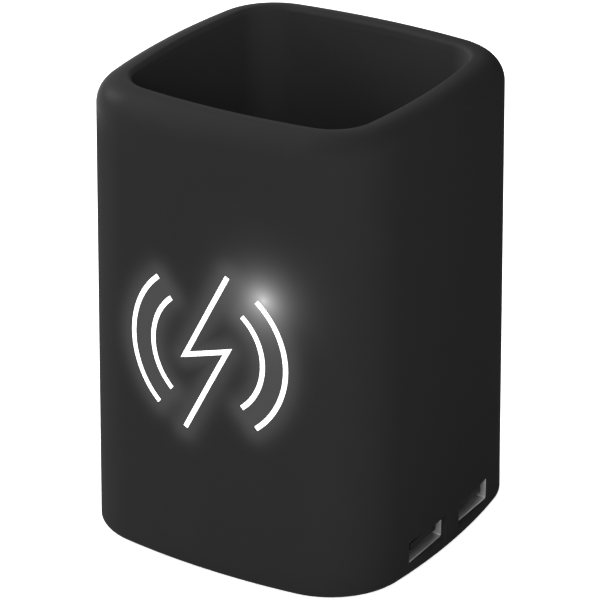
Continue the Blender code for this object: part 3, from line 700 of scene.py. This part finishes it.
# Moulded and painted finishes: colour, its spread, roughness, and the grain's scale and depth
soft_black = coated("soft_black")
# The cup's finish takes that lighter tone, as painted light for the shaded well.
cup_black = grained("cup_black", cup_painted_light_colour, 0.05, 0.85, 4200.0, 0.00002, Specular_IOR_Level=coat_gloss)
base_black = grained(
    "base_black", (0.026, 0.026, 0.027), 0.06, 0.50, 2600.0, 0.00004, Specular_IOR_Level=0.35
)
rubber_black = grained(
    "rubber_black", (0.016, 0.016, 0.016), 0.10, 0.85, 3200.0, 0.00005, Specular_IOR_Level=0.25
)
# The connectors' plastic is darkened beyond its own black, as painted shade for the inside of the outlets.
connector_painted_shade_black = grained(
    "connector_painted_shade_black", (0.007, 0.007, 0.0075), 0.06, 0.60, 5000.0, 0.00001, Specular_IOR_Level=0.04
)
ferrite = grained("ferrite", (0.060, 0.060, 0.064), 0.20, 0.65, 1500.0, 0.00006)
board_green = grained("board_green", (0.016, 0.120, 0.050), 0.15, 0.38, 900.0, 0.00003)
board_white = grained("board_white", (0.72, 0.73, 0.74), 0.04, 0.42, 900.0, 0.00003)
chip_black = grained("chip_black", (0.022, 0.022, 0.024), 0.10, 0.42, 2600.0, 0.00003)
ceramic = grained("ceramic", (0.48, 0.36, 0.23), 0.10, 0.45, 1600.0, 0.00003)
nylon = grained("nylon", (0.80, 0.77, 0.70), 0.04, 0.48, 1400.0, 0.00003)
film_white = grained("film_white", (0.86, 0.86, 0.86), 0.03, 0.38, 1200.0, 0.00002)
lens = grained("lens", (0.92, 0.90, 0.70), 0.04, 0.25, 1500.0, 0.00001)
lead_red = grained("lead_red", (0.42, 0.02, 0.02), 0.08, 0.42, 1800.0, 0.00002)
lead_black = grained("lead_black", (0.025, 0.025, 0.025), 0.08, 0.42, 1800.0, 0.00002)
guide_lit = grained(
    "guide_lit", (0.90, 0.92, 0.95), 0.02, 0.30, 2400.0, 0.00001,
    Emission_Color=(0.97, 0.985, 1.0), Emission_Strength=guide_light,
)

# Metals: colour, roughness, the lines' scale and the axis that they follow
steel_sheet = brushed("steel_sheet", (0.32, 0.32, 0.325), 0.47, 2600.0, 0)
screw_steel = brushed("screw_steel", (0.58, 0.59, 0.61), 0.32, 1800.0, 2)
gold = brushed("gold", (0.83, 0.62, 0.26), 0.25, 3000.0, 0)
can_metal = brushed("can_metal", (0.70, 0.70, 0.71), 0.30, 1500.0, 2)
copper = brushed("copper", (0.72, 0.36, 0.18), 0.28, 900.0, 1)


# Lit mark
def stroke_outline(path, width):
    """The outline of a band of even width along an open path, with mitred corners."""
    left = []
    right = []
    for index, point in enumerate(path):
        here = Vector(point)
        before = (here - Vector(path[index - 1])).normalized() if index else None
        after = (Vector(path[index + 1]) - here).normalized() if index + 1 < len(path) else None
        heading = ((before or after) + (after or before)).normalized()
        across = Vector((-heading.y, heading.x))
        shift = across * (width / 2 / heading.dot(after or before))
        left.append(tuple(here + shift))
        right.append(tuple(here - shift))
    return left + right[::-1]


def mark_paths():
    """The bolt between two pairs of arcs, about the mark's middle."""
    paths = [bolt_knots]
    for radius in arc_radii:
        for side in (-1, 1):
            path = []
            for step in range(arc_steps + 1):
                angle = mark_half_angle * (2 * step / arc_steps - 1)
                path.append((side * radius * math.cos(angle), radius * math.sin(angle)))
            paths.append(path)
    return paths


def stroke_blocks(name, width, back):
    """The mark's strokes as blocks, from in front of the body to a plane behind its wall."""
    points = []
    faces = []
    for path in mark_paths():
        outline = [(u, v + mark_z) for u, v in stroke_outline(path, width)]
        first = len(points)
        size = len(outline)
        for y in (cutter_front_y, back):
            points += [Vector((u, y, v)) for u, v in outline]
        for index in range(size):
            following = (index + 1) % size
            faces.append((first + index, first + following, first + size + following, first + size + index))
        for index in range(size // 2 - 1):
            mirror = size - 1 - index
            for shift in (0, size):
                faces.append(tuple(first + shift + k for k in (index, index + 1, mirror - 1, mirror)))
    return add_object(name, points, faces)


# Body
def make_body():
    """Drafted, bowed body with a rolled rim, cut for the mark and the sockets."""
    start = shell_base_z + base_fillet
    profile = quarter_arc(
        (body_offset(shell_base_z) - base_fillet, start), base_fillet, base_fillet, -90, 0, fillet_steps
    )
    profile += [(body_offset(z), z) for z in levels(start, rim_z)[1:-1]]
    profile += quarter_arc((body_offset(rim_z) - rim_run, rim_z), rim_run, rim_rise, 0, 90, rim_steps)
    profile += quarter_arc(
        (opening_offset + opening_fillet, shell_top_z - opening_fillet),
        -opening_fillet, opening_fillet, 90, 0, fillet_steps,
    )
    lip_z = shell_top_z - body_wall
    profile.append((cup_offset(lip_z), lip_z))
    land = opening_offset + cup_wall + fit_gap
    profile += quarter_arc(
        (land, rim_z), inside_offset(rim_z) - land, rim_rise - body_wall, 90, 0, fillet_steps
    )
    profile.append((inside_offset(shell_base_z), shell_base_z))
    body = add_rings("body_coat", [plan(offset, z) for offset, z in profile], looped=True)
    combine(body, body_supports(), "UNION")
    combine(body, body_openings(), "DIFFERENCE")
    shade(body, cut_angle)
    finish_piece(body, soft_black, "shell_soft_touch", "outer_shell")


def body_supports():
    """Corner bosses for the base's screws and side bosses for the cup's, with their webs."""
    tools = []
    low = base_top_z + fit_gap
    high = low + boss_height
    ear_low = cup_base_z + ear_thickness + fit_gap
    ear_high = ear_low + ear_boss_height
    for index in range(4):
        spot = middle(f"base_screw_{index + 1}")
        outer = Vector(diagonal_places(inside_offset(high) + body_wall / 2)[index])
        across = Vector((-spot.y, spot.x)).normalized() * boss_web / 2
        inner = Vector((spot.x, spot.y))
        outline = [inner - across, outer - across, outer + across, inner + across]
        tools.append(add_prism(f"corner_web_{index}", outline, "Z", low + fit_gap, high - fit_gap))
        tools.append(add_cylinder(
            f"corner_boss_{index}", spot.x, spot.y, boss_radius, low, high, boss_sides
        ))
        spot = middle(f"cup_screw_{index + 1}")
        outer_x = reach(inside_offset(ear_high), ear_spread) + body_wall / 2
        edges = sorted((spot.x, math.copysign(outer_x, spot.x)))
        tools.append(add_box(
            f"side_web_{index}", (edges[0], spot.y - ear_web / 2, ear_low),
            (edges[1], spot.y + ear_web / 2, ear_high),
        ))
        tools.append(add_cylinder(
            f"side_boss_{index}", spot.x, spot.y, ear_boss_radius,
            ear_low - fit_gap / 2, ear_high + fit_gap / 2, bore_sides,
        ))
    return tools


def screw_bore(name, kind, number):
    """A bore round a screw's shank."""
    low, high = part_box(f"{kind}_screw_{number}")
    spot = (low + high) / 2
    shank = screw_sizes[kind][0]
    return add_cylinder(name, spot.x, spot.y, shank + fit_gap, low.z, high.z + fit_gap, bore_sides)


def body_openings():
    """Tools for the mark's slots, the screws' bores, the outlets and the inlet."""
    tools = [stroke_blocks("mark_slots", stroke_width + 2 * slot_gap, guide_foot_y)]
    for number in range(1, 5):
        tools.append(screw_bore(f"corner_bore_{number}", "base", number))
        tools.append(screw_bore(f"side_bore_{number}", "cup", number))
    for index in (1, 2):
        outline = rounded_rectangle(
            middle(f"usb_a_shell_{index}").y, port_z, usb_a_width + 2 * (usb_a_flare + socket_gap),
            usb_a_height + 2 * socket_gap, fit_gap, fillet_steps,
        )
        tools.append(add_prism(f"port_{index}", outline, "X", port_x - usb_a_length, port_x + body_wall))
    low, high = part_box("usb_c_shell")
    width = high.x - low.x + 2 * usb_c_clearance
    height = high.z - low.z + 2 * usb_c_clearance
    outline = rounded_rectangle(0, inlet_z, width, height, height / 2, fillet_steps)
    tools.append(add_prism("inlet", outline, "Y", low.y, inlet_y + body_wall))
    return tools


# Pen cup
def make_cup():
    """Pen cup with seats for coil and light guide, ears and the lamp shelf, hollowed last."""
    top = shell_top_z - body_wall - seam_gap
    cup = add_rings("cup_body", [plan(cup_offset(z) + cup_wall, z) for z in levels(cup_base_z, top)])
    combine(cup, cup_fittings(), "UNION")
    start = cup_floor_z + cup_floor_fillet
    profile = quarter_arc(
        (cup_offset(cup_floor_z) - cup_floor_fillet, start),
        cup_floor_fillet, cup_floor_fillet, -90, 0, fillet_steps,
    )
    profile += [(cup_offset(z), z) for z in levels(start, top)[1:-1]]
    profile.append((cup_offset(top + overrun), top + overrun))
    tools = [add_rings("hollow", [plan(offset, z) for offset, z in profile])]
    for number in range(1, 5):
        tools.append(screw_bore(f"ear_bore_{number}", "cup", number))
    combine(cup, tools, "DIFFERENCE")
    shade(cup, cut_angle)
    finish_piece(cup, cup_black, "cup_plastic", "inner_cup")


def cup_fittings():
    """Seats behind the coil and the light guide, ears for the cup's screws, and the lamp shelf."""
    inside_floor_z = cup_base_z + cup_floor_thickness / 2
    low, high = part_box("coil_ferrite")
    tools = [add_box("coil_seat", (low.x, 0, low.z), (high.x, low.y - fit_gap, high.z))]
    low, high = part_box("reflector_film")
    tools.append(add_box("guide_seat", (low.x, high.y + fit_gap, inside_floor_z), (high.x, 0, high.z)))
    ear_top_z = cup_base_z + ear_thickness
    for index in range(4):
        spot = middle(f"cup_screw_{index + 1}")
        side = math.copysign(1, spot.x)
        outer = reach(inside_offset(ear_top_z), ear_spread + ear_boss_radius) - fit_gap
        edges = sorted((side * plan_half, side * outer))
        tools.append(add_box(
            f"ear_{index}", (edges[0], spot.y - ear_boss_radius, cup_base_z),
            (edges[1], spot.y + ear_boss_radius, ear_top_z),
        ))
    low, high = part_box("led_board")
    shelf_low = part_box("inner_cup")[0].z
    shelf_half = (middle("led_4").x - middle("led_1").x) * lamp_shelf_reach_share
    back = guide_foot_y + lamp_shelf_depth
    tools.append(add_box(
        "shelf", (-shelf_half, guide_foot_y, shelf_low), (shelf_half, back, low.z - fit_gap)
    ))
    tools.append(add_box(
        "shelf_web",
        (lamp_shelf_web - shelf_half, back - 3 * lamp_shelf_web / 2, (shelf_low + low.z) / 2),
        (shelf_half - lamp_shelf_web, back - lamp_shelf_web / 2, inside_floor_z),
    ))
    return tools


def make_guide():
    """Light guide whose raised strokes come up flush with the coat."""
    low, high = guide_box
    plate = add_box("guide_body", (low.x, guide_foot_y, low.z), high)
    strokes = stroke_blocks("ridges", stroke_width, guide_foot_y + guide_thickness / 2)
    heights = levels(low.z - overrun, high.z + overrun)
    form = add_rings("face", [plan(body_offset(z) - stroke_sink, z) for z in heights])
    combine(strokes, [form], "INTERSECT")
    combine(plate, [strokes], "UNION")
    shade(plate, cut_angle)
    finish_piece(plate, guide_lit, "light_guide_clear", "light_guide")


# Outlets
def sheet_lip(back, front):
    """Stops (inset, place) round a sheet's rolled front edge, from its outer face to its inner."""
    edge = socket_sheet * sheet_edge_share
    nip = edge * edge_nip_share
    return (
        (0, back), (0, front - edge), (nip, front - nip), (edge, front),
        (socket_sheet - edge, front), (socket_sheet - nip, front - nip), (socket_sheet, front - edge),
        (socket_sheet, back),
    )


def make_outlet(index):
    """Steel shell with a widened mouth and spring fingers, and the insulator with its tongue."""
    node = f"usb_a_shell_{index}"
    low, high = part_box(node)
    y = middle(node).y
    step = high.x - usb_a_mouth_depth
    waist = step - usb_a_flare_depth
    stops = [(0, low.x, 0), (0, waist, 0)]
    stops += [(inset, x, usb_a_flare) for inset, x in sheet_lip(step, high.x)]
    stops += [(socket_sheet, waist, 0), (socket_sheet, low.x, 0)]
    rings = []
    for inset, x, flare in stops:
        outline = rounded_rectangle(
            y, port_z, usb_a_width + 2 * (flare - inset), usb_a_height - 2 * inset,
            usb_a_corner - inset, fillet_steps,
        )
        rings.append([place("X", u, v, x) for u, v in outline])
    shell = add_rings(f"outlet_shell_{index}", rings, looped=True)
    fingers = []
    for side in (-1, 1):
        for number, wall in enumerate((low.z, high.z)):
            fingers.append(finger_cut(
                f"finger_{index}_{side + 1}_{number}", y + side * usb_a_width * finger_place_share,
                wall, high.x - usb_a_length * finger_front_share,
            ))
    combine(shell, fingers, "DIFFERENCE")
    shade(shell, cut_angle)
    finish_piece(shell, steel_sheet, "connector_steel", node)
    tongue = copy_node(f"usb_a_tongue_{index}", f"outlet_tongue_{index}")
    soften(tongue, tongue_edge)
    finish_piece(tongue, connector_painted_shade_black, "connector_plastic", f"usb_a_tongue_{index}")


def finger_cut(name, y, wall, front):
    """A U-shaped cut that frees a spring finger in the sheet."""
    back = front - usb_a_length * finger_length_share
    left = y - usb_a_width * finger_width_share / 2
    right = y + usb_a_width * finger_width_share / 2
    slit = socket_sheet
    outline = [
        (front, left), (front, left + slit), (back + slit, left + slit), (back + slit, right - slit),
        (front, right - slit), (front, right), (back, right), (back, left),
    ]
    cut = finger_cut_share * socket_sheet
    return add_prism(name, outline, "Z", wall - cut, wall + cut, smooth=False)


def make_inlet():
    """Drawn shell of the power inlet, with its tongue."""
    low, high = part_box("usb_c_shell")
    rings = []
    for inset, y in sheet_lip(low.y, high.y):
        width = high.x - low.x - 2 * inset
        height = high.z - low.z - 2 * inset
        outline = rounded_rectangle(0, inlet_z, width, height, height / 2, fillet_steps)
        rings.append([place("Y", u, v, y) for u, v in outline])
    shell = add_rings("inlet_shell", rings, looped=True)
    finish_piece(shell, steel_sheet, "connector_steel", "usb_c_shell")
    tongue = copy_node("usb_c_tongue", "inlet_tongue")
    soften(tongue, tongue_edge / 2, small_edge_steps)
    finish_piece(tongue, connector_painted_shade_black, "connector_plastic", "usb_c_tongue")


# Underside
def make_base():
    """Base plate with eased edges, stand-offs above, and wells for the screws and feet below."""
    offset = inside_offset(shell_base_z) - base_rim_gap
    stops = (
        (offset - base_edge, shell_base_z), (offset, shell_base_z + base_edge),
        (offset, base_top_z - base_edge), (offset - base_edge, base_top_z),
    )
    plate = add_rings("base_plate", [plan(inset, z) for inset, z in stops])
    below = shell_base_z - overrun
    above = base_top_z + overrun
    post_top = base_top_z + post_height
    shank, head, height = screw_sizes["base"]
    step_z = shell_base_z + height + fit_gap
    screw_well = [
        (0, below), (head + fit_gap, below), (head + fit_gap, step_z),
        (shank + fit_gap, step_z), (shank + fit_gap, above), (0, above),
    ]
    posts = []
    wells = []
    for number in range(1, 5):
        spot = middle(f"base_screw_{number}")
        wells.append(add_turned(f"screw_well_{number}", screw_well, spot.x, spot.y, bore_sides))
        spot = middle(f"foot_{number}")
        wells.append(add_cylinder(
            f"foot_well_{number}", spot.x, spot.y, foot_radius + fit_gap,
            below, shell_base_z + foot_recess, foot_sides,
        ))
        spot = middle(f"board_screw_{number}")
        posts.append(add_cylinder(
            f"post_{number}", spot.x, spot.y, post_radius,
            shell_base_z + base_thickness / 2, post_top, bore_sides,
        ))
        wells.append(add_cylinder(
            f"post_well_{number}", spot.x, spot.y, screw_sizes["board"][0] + fit_gap,
            base_top_z - post_bore_depth - fit_gap, post_top + overrun, bore_sides,
        ))
    combine(plate, posts, "UNION")
    combine(plate, wells, "DIFFERENCE")
    shade(plate, cut_angle)
    finish_piece(plate, base_black, "base_plastic", "base_cover")


def make_feet():
    """Round feet with an eased lower edge."""
    for number in range(1, 5):
        low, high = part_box(f"foot_{number}")
        spot = (low + high) / 2
        profile = [(0, low.z)]
        profile += quarter_arc(
            (foot_radius - foot_edge, low.z + foot_edge), foot_edge, foot_edge, -90, 0, fillet_steps
        )
        profile += [(foot_radius, high.z), (0, high.z)]
        foot = add_turned(f"foot_pad_{number}", profile, spot.x, spot.y, foot_sides)
        finish_piece(foot, rubber_black, "foot_rubber", f"foot_{number}")


def make_screws():
    """Pan-head screws with a cross recess: the board's point down, the others up."""
    for kind, (shank, head, height) in screw_sizes.items():
        way = -1 if kind == "board" else 1
        edge = height * head_edge_share
        nip = edge * edge_nip_share
        arm = head * recess_arm_share
        slit = head * recess_slit_share
        cross = [
            (arm, -slit), (arm, slit), (slit, slit), (slit, arm), (-slit, arm), (-slit, slit),
            (-arm, slit), (-arm, -slit), (-slit, -slit), (-slit, -arm), (slit, -arm), (slit, -slit),
        ]
        for number in range(1, 5):
            low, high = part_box(f"{kind}_screw_{number}")
            spot = (low + high) / 2
            face = low.z if way > 0 else high.z
            length = high.z - low.z
            profile = [
                (0, 0), (head - edge, 0), (head - nip, nip), (head, edge), (head, height),
                (shank, height), (shank, length - shank), (shank / 2, length), (0, length),
            ]
            turned = [(radius, face + way * along) for radius, along in profile]
            screw = add_turned(f"{kind}_fastener_{number}", turned, spot.x, spot.y, bore_sides)
            outline = [(u + spot.x, v + spot.y) for u, v in cross]
            ends = sorted((face - way * height, face + way * height * recess_depth_share))
            combine(screw, [add_prism("recess", outline, "Z", *ends, smooth=False)], "DIFFERENCE")
            shade(screw, cut_angle)
            finish_piece(screw, screw_steel, "screw_steel", f"{kind}_screw_{number}")


# What stands on the boards
def make_board_parts():
    """Moulded and cut pieces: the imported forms, with finish, slot and the width of their eased edges."""
    pieces = {
        "main_board": (board_green, "board_green", 0.00012),
        "led_board": (board_white, "led_board_white", 0.00010),
        "coil_ferrite": (ferrite, "ferrite_grey", 0.00015),
        "control_chip": (chip_black, "chip_black", 0.00012),
        "power_regulator": (chip_black, "chip_black", 0.00015),
        "power_inductor": (ferrite, "ferrite_grey", 0.00060),
        "bulk_capacitor": (can_metal, "capacitor_can", 0.00040),
        "led_header": (nylon, "header_nylon", 0.00030),
        "coil_header": (nylon, "header_nylon", 0.00030),
    }
    for number in range(1, 5):
        pieces[f"led_{number}"] = (lens, "led_lens", 0.00010)
    for number in range(1, 4):
        pieces[f"resonance_capacitor_{number}"] = (ceramic, "capacitor_ceramic", 0.00020)
    for node, (material, slot, edge) in pieces.items():
        piece = copy_node(node, f"{node}_body")
        soften(piece, edge)
        finish_piece(piece, material, slot, node)


def finish_packed():
    """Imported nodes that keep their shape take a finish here."""
    carried = {
        "reflector_film": film_white, "charging_coil": copper,
        "coil_lead_outer": lead_black, "coil_lead_inner": lead_red,
        "led_lead_outer": lead_black, "led_lead_inner": lead_red,
    }
    for port in (1, 2):
        for number in range(1, 5):
            carried[f"usb_a_contact_{port}_{number}"] = gold
    for node, material in carried.items():
        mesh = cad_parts[node].data
        mesh.materials.clear()
        mesh.materials.append(material)


# Stage, lamps and camera
def seen_directly(tree):
    """1 for rays that show the backdrop: from the camera, in gloss and through glass."""
    path = tree.nodes.new("ShaderNodeLightPath")
    total = path.outputs["Is Camera Ray"]
    for name in ("Is Glossy Ray", "Is Transmission Ray"):
        node = tree.nodes.new("ShaderNodeMath")
        node.operation = "MAXIMUM"
        tree.links.new(total, node.inputs[0])
        tree.links.new(path.outputs[name], node.inputs[1])
        total = node.outputs[0]
    return total


def make_floor():
    """A plain pale floor, lifted to the backdrop's white where it is seen."""
    half = floor_size / 2
    mesh = bpy.data.meshes.new("floor")
    corners = [(-half, -half, 0), (half, -half, 0), (half, half, 0), (-half, half, 0)]
    mesh.from_pydata(corners, [], [(0, 1, 2, 3)])
    floor = link_object("floor", mesh)
    nodes = Nodes("pale_floor")
    nodes.set(
        Base_Color=(floor_shade, floor_shade, floor_shade),
        Roughness=floor_roughness, Specular_IOR_Level=floor_gloss, Emission_Color=(1.0, 1.0, 1.0),
        Emission_Strength=nodes.math("MULTIPLY", seen_directly(nodes.tree), floor_lift),
    )
    mesh.materials.append(nodes.material)


def make_world():
    """A white backdrop that adds little light of its own."""
    world = bpy.data.worlds.new("studio")
    bpy.context.scene.world = world
    world.use_nodes = True
    tree = world.node_tree
    background = tree.nodes["Background"]
    background.inputs["Color"].default_value = (1.0, 1.0, 1.0, 1.0)
    level = tree.nodes.new("ShaderNodeMapRange")
    level.inputs["To Min"].default_value = world_level
    level.inputs["To Max"].default_value = backdrop_level
    tree.links.new(seen_directly(tree), level.inputs["Value"])
    tree.links.new(level.outputs["Result"], background.inputs["Strength"])


def make_lamps():
    """Round lamps that all face the middle of the body."""
    target = Vector((0, 0, body_height / 2))
    for name, (azimuth, elevation, distance, size, power) in lamps.items():
        turn = math.radians(azimuth)
        lift = math.radians(elevation)
        way = Vector((math.sin(turn) * math.cos(lift), -math.cos(turn) * math.cos(lift), math.sin(lift)))
        light = bpy.data.lights.new(name, "AREA")
        light.shape = "DISK"
        light.size = size
        light.energy = power
        lamp = link_object(name, light)
        lamp.location = target + way * distance
        lamp.rotation_euler = way.to_track_quat("Z", "Y").to_euler()


def make_camera():
    data = bpy.data.cameras.new("camera")
    data.lens = camera_lens
    camera = link_object("camera", data)
    camera.location = camera_place
    camera.rotation_euler = (math.radians(90 - camera_elevation), 0, math.radians(camera_azimuth))
    bpy.context.scene.camera = camera
    bpy.context.scene.view_settings.view_transform = "Standard"


make_body()
make_cup()
make_guide()
for outlet in (1, 2):
    make_outlet(outlet)
make_inlet()
make_base()
make_feet()
make_screws()
make_board_parts()
finish_packed()
make_floor()
make_world()
make_lamps()
make_camera()
